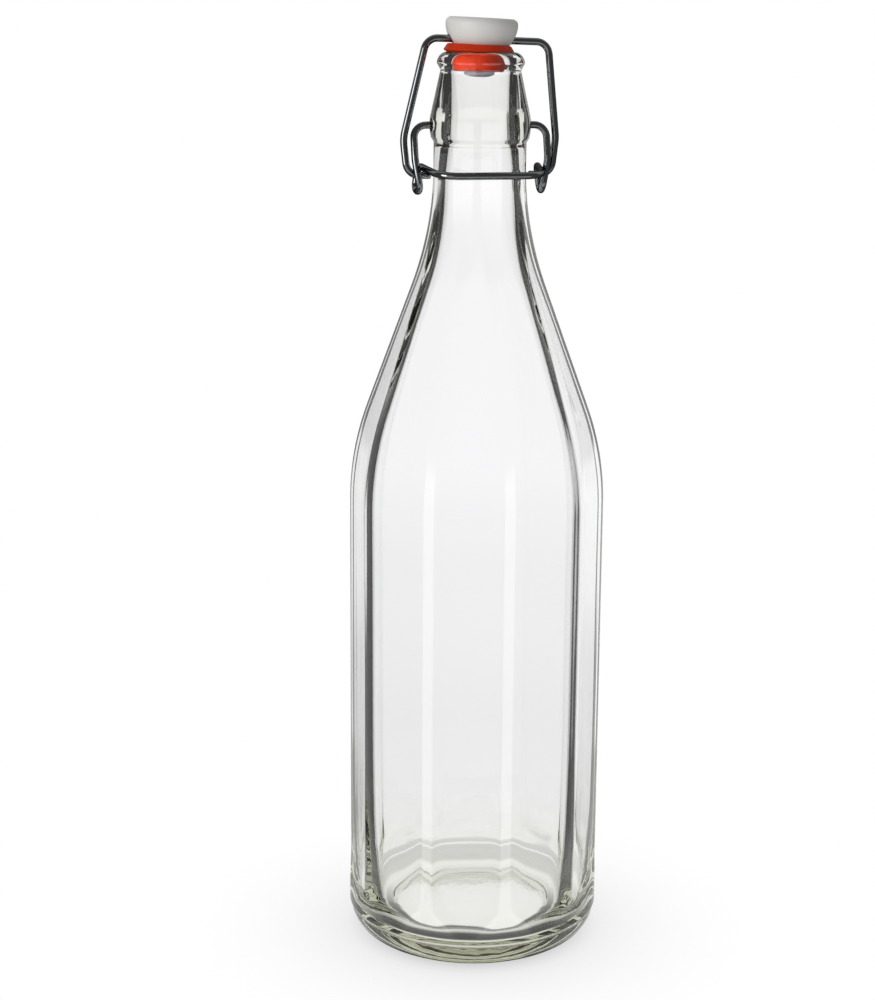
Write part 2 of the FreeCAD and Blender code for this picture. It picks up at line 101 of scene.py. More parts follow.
def arc_radius(width, height):
    """Radius of an arc that starts straight along its height and moves across by width."""
    return (width ** 2 + height ** 2) / (2 * width)


def smoothstep(low, high, value):
    """0 below low, 1 above high, and the cubic 3t^2 - 2t^3 between them."""
    t = np.clip((value - low) / (high - low), 0, 1)
    return t * t * (3 - 2 * t)


print("a quarter of a 10 mm circle:", np.round(arc((10, 0), (0, 10), 10, LEFT, 3), 2).tolist())

# %% [markdown]
# ## From rings to a mesh
# A ring is one closed row of points. Joining each ring to the next with four-sided faces gives a tube, and a
# single point can close either end. Blender's spin tool would do the round pieces, but not the flat-sided
# one, so one function joins the rings of all of them. The signed volume tells whether the faces point
# outwards.

# %% Mesh from rings
def signed_volume(points, faces):
    """Sum of the tetrahedra between the origin and each face's triangles: positive when faces point out."""
    total = 0.0
    for second in range(1, faces.shape[1] - 1):
        a, b, c = points[faces[:, 0]], points[faces[:, second]], points[faces[:, second + 1]]
        total += np.einsum("ij,ij->i", a, np.cross(b, c)).sum() / 6
    return total


def skin(name, rings, start=None, stop=None, looped=False):
    """Object whose surface joins each ring of points to the next: rings[i, j] is point j of ring i, in mm.

    start and stop are single points that close the two ends; looped joins the last ring to the first.
    """
    count, around = rings.shape[:2]
    index = np.arange(count * around).reshape(count, around)
    below, above = (index, np.roll(index, -1, 0)) if looped else (index[:-1], index[1:])
    quads = np.stack([below, np.roll(below, -1, 1), np.roll(above, -1, 1), above], -1).reshape(-1, 4)
    points = [rings.reshape(-1, 3)]
    fans = []
    for pole, ring, flip in ((start, index[0], True), (stop, index[-1], False)):
        if pole is not None:
            centre = np.full(around, count * around + len(points) - 1)
            fan = np.column_stack([ring, np.roll(ring, -1), centre])
            fans.append(fan[:, ::-1] if flip else fan)
            points.append(np.array(pole, float)[None])
    points = np.concatenate(points)
    volume = signed_volume(points, quads) + sum(signed_volume(points, fan) for fan in fans)
    order = slice(None, None, -1 if volume < 0 else 1)
    faces = [*quads[:, order].tolist(), *(face for fan in fans for face in fan[:, order].tolist())]
    mesh = bpy.data.meshes.new(name)
    mesh.from_pydata(points * MM, [], faces)
    mesh.shade_smooth()
    piece = bpy.data.objects.new(name, mesh)
    bpy.context.scene.collection.objects.link(piece)
    print(name, len(points), "points", round(abs(volume) / 1000, 2), "cm3")
    return piece


def even_angles(count):
    """Angles once round in even steps: number i is 2 pi i / count."""
    return np.linspace(0, 2 * math.pi, count, endpoint=False)


def carry_round(radius, height, angles):
    """Rings about the Z axis: radius r and height z at angle a go to (r cos a, r sin a, z)."""
    return np.stack([radius * np.cos(angles), radius * np.sin(angles), height + 0 * angles], -1)


def turn(profile, angles):
    """Rings of a surface of revolution, whose profile points (r, z) are the same at every angle."""
    return carry_round(profile[:, :1], profile[:, 1:], angles)


# %% [markdown]
# ## The glass: its round outline
# The bottle is pressed and blown from one drop of glass: a wide body, a long shoulder that eases into the
# neck, and a hollow that follows the outside. A lathe curve through a few points would bulge between them.
# Here the shoulder is what a mould is cut to, an arc, a straight slope and an arc, so its radius is known at
# any height.

# %% Shoulder
BODY_RADIUS = 43.75
CAVITY_RADIUS = 39.2
NECK_RADIUS = 15.4
NECK_BORE = 11.4
SHOULDER_Z = 155.0
SHOULDER_ROUND = 100.0
SHOULDER_ANGLE = math.radians(20.1)


def flank(z, low, high, low_round, high_round, angle):
    """Radius at height z on the shoulder, and where the shoulder ends.

    An arc leaves the low radius upright, a straight slope follows, and a second arc ends upright at the
    high radius.
    """
    sag = 1 - math.cos(angle)
    bend = SHOULDER_Z + low_round * math.sin(angle)
    ease = bend + (low - high - (low_round + high_round) * sag) / math.tan(angle)
    end = ease + high_round * math.sin(angle)
    lower = low - low_round + np.sqrt(np.maximum(low_round ** 2 - np.maximum(z - SHOULDER_Z, 0) ** 2, 0))
    slope = low - low_round * sag - (z - bend) * math.tan(angle)
    upper = high + high_round - np.sqrt(np.maximum(high_round ** 2 - np.maximum(end - z, 0) ** 2, 0))
    return np.where(z < bend, lower, np.where(z < ease, slope, upper)), end


def outer_flank(z):
    """Round profile of the outside."""
    return flank(z, BODY_RADIUS, NECK_RADIUS, SHOULDER_ROUND, SHOULDER_ROUND, SHOULDER_ANGLE)


def inner_flank(z):
    """Round profile of the hollow, whose rounds keep the same centres as the outside."""
    wall = BODY_RADIUS - CAVITY_RADIUS
    return flank(z, CAVITY_RADIUS, NECK_BORE, SHOULDER_ROUND - wall, SHOULDER_ROUND + wall, SHOULDER_ANGLE)


print("the shoulder runs from", SHOULDER_Z, "to", round(float(outer_flank(0.0)[1]), 1))

# %% [markdown]
# ## The glass: its flat sides
# Ten flat sides are pressed into the round body by the mould. They run out in the heel and thin away below
# the neck. Ten cuts with a boolean would leave hard edges, and hot glass never fills a sharp corner. So the
# radius at any angle is the smaller of the round outline and a ten-sided outline with rounded corners, gently
# eased.

# %% Flat sides
FACETS = 10
HALF_FACET = math.pi / FACETS
APOTHEM = 41.8
HEEL_STEP = 0.5
FACET_FOOT = 10.4
FACET_RUNOUT = 14.0
FACET_ANGLE = math.radians(19.3)
FACET_END = 16.1


def facet_distance(z):
    """Distance of a flat side from the axis at height z, running out at the heel and below the neck."""
    brim = BODY_RADIUS + HEEL_STEP
    foot = brim + (APOTHEM - brim) * smoothstep(FACET_FOOT, FACET_FOOT + FACET_RUNOUT, z)
    side, end = flank(z, APOTHEM, FACET_END, SHOULDER_ROUND, SHOULDER_ROUND, FACET_ANGLE)
    distance = np.where(z < SHOULDER_Z, foot, side)
    return np.where((z < FACET_FOOT) | (z > end), BODY_RADIUS * 2, distance)


def rounded_polygon(distance, angle, corner):
    """Radius at an angle from a flat side's middle: flat to the corner round, then the round's circle."""
    centre = (distance - corner) / math.cos(HALF_FACET)
    tangent = np.arctan2(centre * math.sin(HALF_FACET), distance)
    off = HALF_FACET - np.abs(angle)
    root = np.sqrt(np.maximum(corner ** 2 - (centre * np.sin(off)) ** 2, 0))
    return np.where(np.abs(angle) < tangent, distance / np.cos(angle), centre * np.cos(off) + root)


def soft_min(first, second, width):
    """Smaller of two values, eased by a parabola where they are within width of each other."""
    ease = np.maximum(width - np.abs(first - second), 0) / width
    return np.minimum(first, second) - ease ** 2 * width / 4


print("each flat side is", round(2 * APOTHEM * math.tan(HALF_FACET), 1), "mm wide")

# %% [markdown]
# ## The glass: rows from the punt to the floor
# One closed outline goes from the punt under the base, round the heel, up the outside, over the bead lip and
# down the hollow to the floor. Two shells with a gap between them would need joining at the rim. One outline
# has no seam, and light can then be followed in and out of real thickness, thicker towards the base.

# %% Outside rows
COLLAR_RADIUS = 16.8
MOUTH_RADIUS = 9.75
RIM_ROUND = 2.0
LIP_RADIUS = 14.5
LIP_CROWN = 3.6
LIP_ROOT = 13.3
LIP_UNDER = 2.2
BASE_RADIUS = 35.0
PUNT_RADIUS = 31.0
PUNT_HEIGHT = 7.0
HEEL_HEIGHT = 9.6
COLLAR_ROUND = 16.0
COLLAR_LOW = PIVOT_Z - 4.2
COLLAR_UNDER = 1.4
NECK_TAPER = math.radians(13.4)
CLOSE_ROWS_TOP = 21.0


def outside_rows():
    """Profile of the outside, from the middle of the punt to the top of the rim, as points (r, z)."""
    step = BODY_RADIUS - HEEL_STEP
    heel_top = HEEL_HEIGHT + HEEL_STEP
    neck_z = outer_flank(0.0)[1]
    body_z = np.concatenate([
        np.linspace(heel_top, CLOSE_ROWS_TOP, 26)[:-1],
        np.linspace(CLOSE_ROWS_TOP, SHOULDER_Z, 22)[:-1],
        np.linspace(SHOULDER_Z, neck_z, 64)[:-1],
    ])
    barrel = COLLAR_RADIUS - COLLAR_ROUND
    collar = (barrel + math.sqrt(COLLAR_ROUND ** 2 - (PIVOT_Z - COLLAR_LOW) ** 2), COLLAR_LOW)
    taper = (barrel + COLLAR_ROUND * math.cos(NECK_TAPER), PIVOT_Z + COLLAR_ROUND * math.sin(NECK_TAPER))
    lip_z = LIP_Z - LIP_CROWN
    root = (LIP_ROOT, lip_z - LIP_UNDER)
    rim = MOUTH_RADIUS + RIM_ROUND
    return np.concatenate([
        arc((0, PUNT_HEIGHT), (PUNT_RADIUS, 0), arc_radius(PUNT_HEIGHT, PUNT_RADIUS), RIGHT, 16)[1:],
        line((PUNT_RADIUS, 0), (BASE_RADIUS, 0), 5),
        arc((BASE_RADIUS, 0), (step, HEEL_HEIGHT), arc_radius(step - BASE_RADIUS, HEEL_HEIGHT), LEFT, 14),
        line((step, HEEL_HEIGHT), (BODY_RADIUS, heel_top), 4),
        np.column_stack([outer_flank(body_z)[0], body_z]),
        line((NECK_RADIUS, neck_z), (NECK_RADIUS, COLLAR_LOW - COLLAR_UNDER), 5),
        line((NECK_RADIUS, COLLAR_LOW - COLLAR_UNDER), collar, 4),
        arc(collar, taper, COLLAR_ROUND, LEFT, 28),
        line(taper, root, 10),
        line(root, (LIP_RADIUS, lip_z), 5),
        arc((LIP_RADIUS, lip_z), (rim, LIP_Z), arc_radius(LIP_RADIUS - rim, LIP_CROWN), LEFT, 14),
    ])


outside = outside_rows()
print("outside rows", len(outside), "widest", outside[:, 0].max(), "mm")

# %% Inside rows
MOUTH_Z = LIP_Z - 7.0
THROAT_RADIUS = 9.6
FLOOR_Z = 12.0
FLOOR_DIP = 4.8
FLOOR_CORNER = 10.2
FOOT_THICKER = 1.2
FOOT_FADE = (17.0, 75.0)


def inside_rows():
    """Profile of the hollow, from the top of the rim down to the middle of the floor, as points (r, z)."""
    rim = MOUTH_RADIUS + RIM_ROUND
    bore_end = inner_flank(0.0)[1]
    dip_z = FLOOR_Z - FLOOR_DIP
    foot_radius = CAVITY_RADIUS - FOOT_THICKER
    floor_radius = foot_radius - FLOOR_CORNER
    cavity_z = np.concatenate([
        np.linspace(bore_end, SHOULDER_Z, 50)[:-1],
        np.linspace(SHOULDER_Z, dip_z + FLOOR_CORNER, 14)[:-1],
    ])
    cavity = inner_flank(cavity_z)[0] - FOOT_THICKER * (1 - smoothstep(*FOOT_FADE, cavity_z))
    return np.concatenate([
        arc((rim, LIP_Z), (MOUTH_RADIUS, LIP_Z - RIM_ROUND), RIM_ROUND, LEFT, 10),
        line((MOUTH_RADIUS, LIP_Z - RIM_ROUND), (MOUTH_RADIUS, MOUTH_Z), 5),
        line((MOUTH_RADIUS, MOUTH_Z), (THROAT_RADIUS, PIVOT_Z), 8),
        line((THROAT_RADIUS, PIVOT_Z), (NECK_BORE, bore_end), 8),
        np.column_stack([cavity, cavity_z]),
        arc((foot_radius, dip_z + FLOOR_CORNER), (floor_radius, dip_z), FLOOR_CORNER, RIGHT, 14),
        arc((floor_radius, dip_z), (0, FLOOR_Z), arc_radius(FLOOR_DIP, floor_radius), LEFT, 16),
    ])


inside = inside_rows()
print("inside rows", len(inside), "floor thickness", FLOOR_Z - PUNT_HEIGHT, "mm at the middle")

# %% [markdown]
# ## The glass: columns and surface
# Each row is carried round the axis. Even angles would miss the narrow corners and the two small dimples that
# hold the lever's pins, so the columns are closer together there. The hollow takes soft corners too, because
# blown glass keeps an even wall behind each flat side, and that keeps the view through the body straight.

# %% Glass surface
CORNER_ROUND = 6.0
HOLLOW_CORNER = 0.35
FLOOR_FADE = (17.0, 40.0)
NECK_FADE = (215.0, 255.0)
FACET_EASE = 0.6
DIMPLE_DEPTH = 2.6
DIMPLE_HOLE = 1.36
DIMPLE_MOUTH = 2.4


def glass_columns():
    """Angles round the bottle: close together at the rounded corners and at the two pivot dimples."""
    corner = np.radians([16, 16.5, 17, 17.5])
    flat = np.radians(np.linspace(-15, 15, 13))
    facet = np.concatenate([[-HALF_FACET], -corner[::-1], flat, corner])
    middles = 2 * HALF_FACET * np.arange(FACETS)
    dimple = np.radians(np.arange(-9, 9.01, 0.75))
    angles = np.concatenate([(middles[:, None] + facet).ravel(), dimple, dimple + math.pi])
    return np.unique(np.round(np.mod(angles, 2 * math.pi), 6))


def hollow_corner(z):
    """Share of the hollow's size that rounds its corners: soft along the body, quite round at the ends."""
    fade = np.maximum(smoothstep(*NECK_FADE, z), 1 - smoothstep(*FLOOR_FADE, z))
    return HOLLOW_CORNER + (1 - HOLLOW_CORNER) * fade


def make_bottle():
    """Glass shell: the outside radius is the smaller of round and flat-sided outlines, less the dimples.

    A dimple takes its depth off the radius inside its hole and eases to nothing at its mouth.
    """
    angles = glass_columns()
    from_middle = np.mod(angles + HALF_FACET, 2 * HALF_FACET) - HALF_FACET
    radius, z = outside[:, :1], outside[:, 1:]
    faceted = soft_min(radius, rounded_polygon(facet_distance(z), from_middle, CORNER_ROUND), FACET_EASE)
    across = np.hypot(faceted * np.sin(angles), z - PIVOT_Z)
    faceted = faceted - DIMPLE_DEPTH * (1 - smoothstep(DIMPLE_HOLE, DIMPLE_MOUTH, across))
    shell = carry_round(faceted, z, angles)
    radius, z = inside[:, :1], inside[:, 1:]
    soft = rounded_polygon(radius, from_middle, hollow_corner(z) * radius)
    hollow = carry_round(soft, z, angles)
    rings = np.concatenate([shell, hollow])
    return skin("bottle_glass", rings, start=(0, 0, PUNT_HEIGHT), stop=(0, 0, FLOOR_Z))


bottle = make_bottle()

# %% [markdown]
# ## The wires: a round section along a bent route
# Both wires are drawn steel bent on a jig: straight runs, with a bend of its own radius at each corner. A
# curve with a round bevel could do it, but its handles don't give exact bend radii. So arcs are laid into the
# corners and a small circle is carried along. Its frame turns as little as possible, so the wire doesn't
# twist.

# %% Wire along a bent route
WIRE_SIDES = 20
WIRE_EDGE = 0.25 * WIRE_RADIUS
BEND_STEPS = 9
SAME_SPOT = 1e-6


def bent_route(corners, bends):
    """Stations along straight runs and tangent arcs, with no station twice.

    An arc of radius r touches its two runs at r / tan(half the corner) from where they would meet.
    """
    spots = np.array(corners, float)
    stations = [spots[:1]]
    for before, corner, after, radius in zip(spots, spots[1:], spots[2:], bends):
        back = (before - corner) / np.linalg.norm(before - corner)
        ahead = (after - corner) / np.linalg.norm(after - corner)
        half = math.acos(np.clip(back @ ahead, -1, 1)) / 2
        middle = (back + ahead) / np.linalg.norm(back + ahead)
        centre = corner + middle * radius / math.sin(half)
        first = corner + back * radius / math.tan(half) - centre
        last = corner + ahead * radius / math.tan(half) - centre
        share = np.linspace(0, 1, BEND_STEPS)[:, None]
        sweep = math.pi - 2 * half
        swing = np.sin((1 - share) * sweep) * first + np.sin(share * sweep) * last
        stations.append(centre + swing / math.sin(sweep))
    stations.append(spots[-1:])
    route = np.concatenate(stations)
    apart = np.linalg.norm(np.diff(route, axis=0), axis=1) > SAME_SPOT
    return route[np.concatenate([[True], apart])]


def carried_frames(route, first_side):
    """Direction of the route at each station, and two directions square to it.

    Each of the two is the one at the station before, turned only as much as the route turns.
    """
    ahead = np.gradient(route, axis=0)
    ahead /= np.linalg.norm(ahead, axis=1)[:, None]
    side = np.empty_like(route)
    side[0] = first_side
    for station in range(1, len(route)):
        moved = side[station - 1] - (side[station - 1] @ ahead[station]) * ahead[station]
        side[station] = moved / np.linalg.norm(moved)
    return ahead, side, np.cross(ahead, side)


def wire(name, corners, bends, first_side):
    """Round wire: each ring is the station plus the wire's radius times a circle in the carried frame.

    The cut ends are slightly rounded by one smaller ring each.
    """
    route = bent_route(corners, bends)
    ahead, side, up = carried_frames(route, first_side)
    angles = even_angles(WIRE_SIDES)
    circle = side[:, None] * np.cos(angles)[:, None] + up[:, None] * np.sin(angles)[:, None]
    rings = route[:, None] + WIRE_RADIUS * circle
    shrink = (WIRE_RADIUS - WIRE_EDGE) * circle
    head = route[0] + shrink[0]
    tail = route[-1] + shrink[-1]
    rings[0] += WIRE_EDGE * ahead[0]
    rings[-1] -= WIRE_EDGE * ahead[-1]
    rings = np.concatenate([head[None], rings, tail[None]])
    length = np.linalg.norm(np.diff(route, axis=0), axis=1).sum()
    print(name, "is", round(length), "mm of wire")
    return skin(name, rings, start=route[0], stop=route[-1])


# %% [markdown]
# ### The bail
# The bail is the upper wire: it passes through the stopper as a crossbar, comes down both sides of the neck
# and hooks into the lever's eyes. It could be one half mirrored, but on this bottle its crossbar sits a
# little to one side and leans, so all eight corners are named.

# %% Bail
LEVER_HALF = 22.7
HOOK_END = 16.8
HOOK_HALF = LEVER_HALF + 2.0
BAIL_HALF = 26.1
BAIL_WIDE_Z = EYE_Z + 12.0
BAIL_SHIFT = 2.35
BAIL_TOP_HALF = 20.6
BAIL_BENDS = [4.5, 14.0, 4.5]
CROSSBAR_LEAN = math.radians(1.6)
CROSSBAR_DROP = 0.3


def make_bail():
    """Upper wire, all in the plane y = 0: hooks through the eyes, limbs, and the crossbar with the lean."""
    left, right = BAIL_SHIFT - BAIL_TOP_HALF, BAIL_SHIFT + BAIL_TOP_HALF
    corners = [
        (-HOOK_END, 0, EYE_Z),
        (-HOOK_HALF, 0, EYE_Z),
        (-BAIL_HALF, 0, BAIL_WIDE_Z),
        (left, 0, CROSSBAR_Z - CROSSBAR_DROP - left * math.tan(CROSSBAR_LEAN)),
        (right, 0, CROSSBAR_Z - CROSSBAR_DROP - right * math.tan(CROSSBAR_LEAN)),
        (BAIL_HALF, 0, BAIL_WIDE_Z),
        (HOOK_HALF, 0, EYE_Z),
        (HOOK_END, 0, EYE_Z),
    ]
    return wire("bail_wire", corners, BAIL_BENDS + BAIL_BENDS[::-1], (0, 1, 0))


bail = make_bail()

# %% [markdown]
# ### The lever
# The lever is the lower wire: a pin in each dimple, a limb down each side, an eye that holds the bail's hook,
# and a push bar across the front of the neck. Both halves are alike, so half of its corners are named and the
# others mirrored. The wire is still made in one go, because the real one has no joint in the middle.

# %% Lever
EYE_GAP = 0.35
EYE_LOOP = 2 * WIRE_RADIUS + EYE_GAP
EYE_TOP = EYE_Z + EYE_LOOP + EYE_GAP
EYE_BOTTOM = EYE_Z - 2.45 - EYE_LOOP
EYE_FRONT = LEVER_HALF - 1.9
EYE_BACK = LEVER_HALF - 1.1
ARM_HALF = LEVER_HALF - 2.3
BAR_HALF = ARM_HALF - 3.1
BAR_Y = -(NECK_RADIUS + 0.4 + WIRE_RADIUS)
BAR_Z = PIVOT_Z - 15.5
LIMB_Z = PIVOT_Z - 11.0
PIN_END = COLLAR_RADIUS - DIMPLE_DEPTH + 0.3
LEVER_BENDS = [4.2, 10.0, EYE_LOOP, EYE_LOOP, EYE_LOOP, 8.0]


def make_lever():
    """Lower wire: pins in the dimples, limbs, an eye on each side and the push bar in front of the neck."""
    half = [
        (PIN_END, 0, PIVOT_Z),
        (LEVER_HALF, 0, PIVOT_Z),
        (LEVER_HALF, -EYE_LOOP, LIMB_Z),
        (EYE_FRONT, -EYE_LOOP, EYE_BOTTOM),
        (EYE_BACK, EYE_LOOP, EYE_BOTTOM),
        (ARM_HALF, EYE_LOOP, EYE_TOP),
        (BAR_HALF, BAR_Y, BAR_Z),
    ]
    other = [(-x, y, z) for x, y, z in reversed(half)]
    return wire("lever_wire", half + other, LEVER_BENDS + LEVER_BENDS[::-1], (0, 1, 0))


lever = make_lever()

# %% [markdown]
# ## The stopper
# The stopper is a white moulded plug: a bowl-shaped head with a cross hole for the bail, a stem for the
# rubber ring, and a mushroom end that keeps the ring on. It is turned about its own axis, which leans with
# the frame's joint. A hole could be painted dark, but then the wire would run through solid plastic, so a rod
# cuts it.

# %% Stopper outline
HOLE_Z = 1.9
HOLE_RADIUS = WIRE_RADIUS + 0.26
HEAD_RADIUS = 11.9
HEAD_WAIST = 6.0
HEAD_BAND = 0.7
HEAD_EDGE = 1.9
HEAD_BELLY = 11.0
HEAD_FOOT = 9.5
STEM_RADIUS = 3.6
NUB_RADIUS = 5.0
NUB_HEIGHT = 3.3
NUB_ROUND = 1.8
GASKET_HEIGHT = 8.1
SOFT_EDGE = 0.25
FOOT_FLARE = 0.05
POLE_RADIUS = 0.6


def stopper_profile():
    """Half outline of the stopper as points (r, z), from under the mushroom end to the top of the head."""
    base = -HOLE_Z
    ledge = base - GASKET_HEIGHT
    foot = ledge - NUB_HEIGHT
    waist = base + HEAD_WAIST
    brow = waist + HEAD_BAND
    belly = (HEAD_FOOT + FOOT_FLARE, base + SOFT_EDGE)
    return np.concatenate([
        line((POLE_RADIUS, foot), (NUB_RADIUS - NUB_ROUND, foot), 3),
        arc((NUB_RADIUS - NUB_ROUND, foot), (NUB_RADIUS, foot + NUB_ROUND), NUB_ROUND, LEFT, 8),
        line((NUB_RADIUS, foot + NUB_ROUND), (NUB_RADIUS, ledge), 2),
        line((NUB_RADIUS, ledge), (STEM_RADIUS, ledge), 2),
        line((STEM_RADIUS, ledge), (STEM_RADIUS, base), 4),
        line((STEM_RADIUS, base), (HEAD_FOOT - SOFT_EDGE, base), 4),
        arc((HEAD_FOOT - SOFT_EDGE, base), belly, SOFT_EDGE * 1.1, LEFT, 3),
        arc(belly, (HEAD_RADIUS, waist), HEAD_BELLY, LEFT, 18),
        line((HEAD_RADIUS, waist), (HEAD_RADIUS, brow), 2),
        arc((HEAD_RADIUS, brow), (HEAD_RADIUS - HEAD_EDGE, brow + HEAD_EDGE), HEAD_EDGE, LEFT, 12),
        line((HEAD_RADIUS - HEAD_EDGE, brow + HEAD_EDGE), (POLE_RADIUS, brow + HEAD_EDGE), 6),
    ])


print("stopper outline has", len(stopper_profile()), "points")

# %% Stopper
TURN_STEPS = 96
HOLE_STEPS = 32
SHARP_EDGE = math.radians(40)


def seated(rings, lean=LEAN, drop=0.0):
    """Rings in the stopper's own frame, turned about Y by the lean and lifted onto the crossbar."""
    x, y, z = np.moveaxis(rings, -1, 0)
    lean_x = x * math.cos(lean) + z * math.sin(lean)
    lean_z = z * math.cos(lean) - x * math.sin(lean) + CROSSBAR_Z - drop
    return np.stack([lean_x, y, lean_z], -1)


def make_stopper():
    """Outline turned about the stopper's axis, less a rod along the crossbar and a little wider than it."""
    profile = stopper_profile()
    top, foot = profile[:, 1].max(), profile[:, 1].min()
    ends = seated(np.array([[[0, 0, foot], [0, 0, top]]], float))[0]
    blank = skin("stopper_head", seated(turn(profile, even_angles(TURN_STEPS))), start=ends[0], stop=ends[1])
    reach = 2 * HEAD_RADIUS
    ring = even_angles(HOLE_STEPS)
    circle = HOLE_RADIUS * np.stack([0 * ring, np.cos(ring), np.sin(ring)], -1)
    shift = np.array([[[-reach, 0, 0]], [[reach, 0, 0]]])
    caps = seated(shift.astype(float), CROSSBAR_LEAN, CROSSBAR_DROP)[:, 0]
    rod = skin("hole_rod", seated(circle + shift, CROSSBAR_LEAN, CROSSBAR_DROP), start=caps[0], stop=caps[1])
    cut = blank.modifiers.new("cross_hole", "BOOLEAN")
    cut.operation = "DIFFERENCE"
    cut.solver = "EXACT"
    cut.object = rod
    evaluated = blank.evaluated_get(bpy.context.evaluated_depsgraph_get())
    blank.data = bpy.data.meshes.new_from_object(evaluated)
    blank.modifiers.clear()
    bpy.data.objects.remove(rod)
    blank.data.set_sharp_from_angle(angle=SHARP_EDGE)
    print("stopper with its hole has", len(blank.data.polygons), "faces")
    return blank


stopper = make_stopper()

# %% [markdown]
# ## The gasket
# The gasket is the red rubber ring that seals the mouth: a pointed rim above the glass, a bevel that sits on
# it and a tapered plug inside it. A torus would miss all three, so its section is drawn by its corners.
# Rubber has no sharp edges, so each corner is rounded by a parabola. The real ring sits a little to one side
# on its stem.

# %% Gasket
GASKET_ASIDE = -0.5
GASKET_TOP = 10.4
TIP_RADIUS = 11.8
TIP_DROP = 2.1
GASKET_BEVEL = math.radians(31)
PLUG_RADIUS = 9.0
PLUG_END = 8.3
STEM_GAP = 0.05
MOST_OF_SIDE = 0.45


def softened(corners, edge, steps):
    """Profile through the corners with each one rounded by a parabola that starts edge before it."""
    spots = np.array(corners, float)
    before = spots - np.roll(spots, 1, 0)
    after = np.roll(spots, -1, 0) - spots
    before *= np.minimum(edge / np.linalg.norm(before, axis=1), MOST_OF_SIDE)[:, None]
    after *= np.minimum(edge / np.linalg.norm(after, axis=1), MOST_OF_SIDE)[:, None]
    share = np.linspace(0, 1, steps)[None, :, None]
    rounded = (1 - share) ** 2 * (spots - before)[:, None] + share ** 2 * (spots + after)[:, None]
    return (rounded + 2 * share * (1 - share) * spots[:, None]).reshape(-1, 2)


def make_gasket():
    """Rubber ring: its softened section turned about the stopper's axis and moved aside by a fixed amount."""
    top = -HOLE_Z
    tip = top - TIP_DROP
    foot = top - GASKET_HEIGHT
    hole = STEM_RADIUS - GASKET_ASIDE + STEM_GAP
    corners = [
        (hole, foot),
        (PLUG_END, foot),
        (PLUG_RADIUS, tip - (TIP_RADIUS - PLUG_RADIUS) * math.tan(GASKET_BEVEL)),
        (TIP_RADIUS, tip),
        (GASKET_TOP, top),
        (hole, top),
    ]
    section = softened(corners, 2 * SOFT_EDGE, 5)
    rings = turn(section, even_angles(TURN_STEPS)) + np.array([GASKET_ASIDE, 0, 0])
    return skin("gasket_ring", seated(rings), looped=True)


gasket = make_gasket()

# %% [markdown]
# ## Place every piece on its body
# On the real bottle the glass stands still, the lever turns in its dimples, and the bail and stopper follow.
# Each new piece stands for one solid and rides with that solid's body, so the joints move it with no more
# work.

# %% Ride and replace
DRESSED = [
    (bottle, "bottle", "bottle", "glass"),
    (bail, "bail", "bail", "wire"),
    (lever, "lever", "lever", "wire"),
    (stopper, "stopper", "stopper", "stopper"),
    (gasket, "stopper", "gasket", "gasket"),
]
for piece, body, solid, finish in DRESSED:
    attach(piece, body)
    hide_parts(solid)
    print(piece.name, "rides on", body, "and stands for", solid)

# %% [markdown]
# ## Finishes
# A finish is a small tree of shader nodes. Colours are written as sRGB hex, as a designer notes them, but a
# shader needs linear light, so one function turns the code into linear values. The nodes could be placed by
# hand in the editor. In code, one small function that adds a node and fills its sockets keeps each tree
# readable.

# %% Colours and nodes
def linear(code):
    """sRGB hex to linear RGBA: each channel c goes to ((c + 0.055) / 1.055)^2.4, or c / 12.92 when small."""
    channels = [int(code[i:i + 2], 16) / 255 for i in (1, 3, 5)]
    return [c / 12.92 if c <= 0.04045 else ((c + 0.055) / 1.055) ** 2.4 for c in channels] + [1.0]


def add(tree, kind, settings=None, **inputs):
    """Add one node: settings go on the node, inputs on its sockets as values or as links from other sockets.

    An input is named as its socket is, with _ for a space, or by _ and the socket's number.
    """
    made = tree.nodes.new(kind)
    for key, value in (settings or {}).items():
        setattr(made, key, value)
    for key, value in inputs.items():
        socket = made.inputs[int(key[1:])] if key[1:].isdigit() else made.inputs[key.replace("_", " ")]
        if isinstance(value, bpy.types.NodeSocket):
            tree.links.new(value, socket)
        else:
            socket.default_value = value
    return made


def new_material(name):
    """Empty node material and its tree."""
    material = bpy.data.materials.new(name)
    material.use_nodes = True
    material.node_tree.nodes.clear()
    return material, material.node_tree


def dress(material, *pieces):
    """Give each piece this one finish."""
    for piece in pieces:
        piece.data.materials.clear()
        piece.data.materials.append(material)
    print(material.name, "on", ", ".join(piece.name for piece in pieces))


print("mid grey #808080 is", round(linear("#808080")[0], 3), "in linear light")

# %% [markdown]
# ### Clear glass
# Bottle glass is soda-lime glass, pressed, blown and polished by the flame: clear, very smooth, and grey-
# green only where light travels far inside it. A tinted surface would colour thin and thick parts alike, so
# the surface stays white and the volume absorbs the tint. The mould leaves long shallow ripples. They are too
# shallow to model, so they are a bump from noise that is stretched along the height.

# %% Flint glass
RIPPLE = 5 * MM
RIPPLE_STRETCH = 0.06
